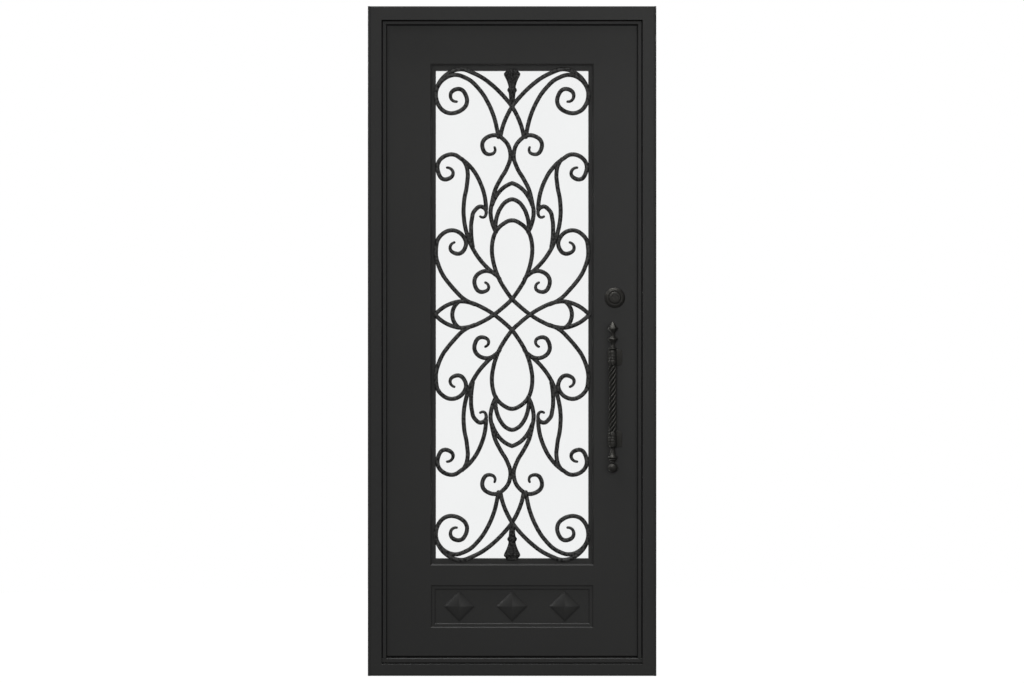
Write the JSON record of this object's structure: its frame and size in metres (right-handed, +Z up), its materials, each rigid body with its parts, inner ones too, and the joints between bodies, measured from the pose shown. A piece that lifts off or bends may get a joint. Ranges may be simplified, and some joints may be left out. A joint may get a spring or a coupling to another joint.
{
  "type": "wrought iron entry door, single inswing leaf in a steel frame",
  "caption": "Single wrought iron entry door in its steel frame, with a tall glazed light of mirrored scrollwork, a studded kick panel, a twisted pull and a deadbolt.",
  "frame": {"origin": "middle of the sill's underside, at mid depth of the frame", "axes": "+Z up, +X to the right as seen from outside, the outside faces -Y"},
  "size_m": [1.0668, 0.2255, 2.4765],
  "materials": {
    "powder_coated_steel": "satin",
    "forged_bars": "satin",
    "bronze_hardware": "satin",
    "clear_glass": "gloss",
    "seal_rubber": "matte"
  },
  "bodies": {
    "frame": {"hinge_jamb": "powder_coated_steel", "lock_jamb": "powder_coated_steel", "head_jamb": "powder_coated_steel", "sill": "powder_coated_steel", "threshold_step": "powder_coated_steel", "hinge_side_stop": "powder_coated_steel", "lock_side_stop": "powder_coated_steel", "head_stop": "powder_coated_steel", "weather_seal": "seal_rubber", "hinge_frame_halves": "powder_coated_steel"},
    "leaf": {"hinge_stile": "powder_coated_steel", "lock_stile": "powder_coated_steel", "top_rail": "powder_coated_steel", "middle_rail": "powder_coated_steel", "bottom_rail": "powder_coated_steel", "bottom_sweep": "seal_rubber", "light_ledge": "powder_coated_steel", "glass_pane": "clear_glass", "glazing_frame": "powder_coated_steel", "kick_panel": "powder_coated_steel", "kick_panel_moulding": "powder_coated_steel", "pyramid_studs": "forged_bars", "hinge_leaf_halves": "powder_coated_steel", "pull_upper_mount": "bronze_hardware", "pull_lower_mount": "bronze_hardware", "pull_grip": "bronze_hardware", "pull_upper_finial": "bronze_hardware", "pull_lower_finial": "bronze_hardware", "inner_pull_upper_mount": "bronze_hardware", "inner_pull_lower_mount": "bronze_hardware", "inner_pull_grip": "bronze_hardware", "deadbolt_rose": "bronze_hardware", "lock_cylinder": "bronze_hardware", "thumb_turn_rose": "bronze_hardware", "thumb_turn": "bronze_hardware", "centre_ribbon": "forged_bars", "neck_scrolls": "forged_bars", "corner_scrolls": "forged_bars", "cross_bars": "forged_bars", "pointed_arches": "forged_bars", "round_arches": "forged_bars", "side_scrolls": "forged_bars", "plume_bars": "forged_bars", "plume_stems": "forged_bars", "hook_scrolls": "forged_bars", "small_scrolls": "forged_bars", "end_crescents": "forged_bars", "husks": "forged_bars"}
  },
  "joints": [
    {"name": "door_swing", "type": "hinge", "parent": "frame", "child": "leaf", "pos_m": [-0.4799, 0.08, 1.245], "axis": [0, 0, 1], "range_deg": [0, 105]}
  ]
}
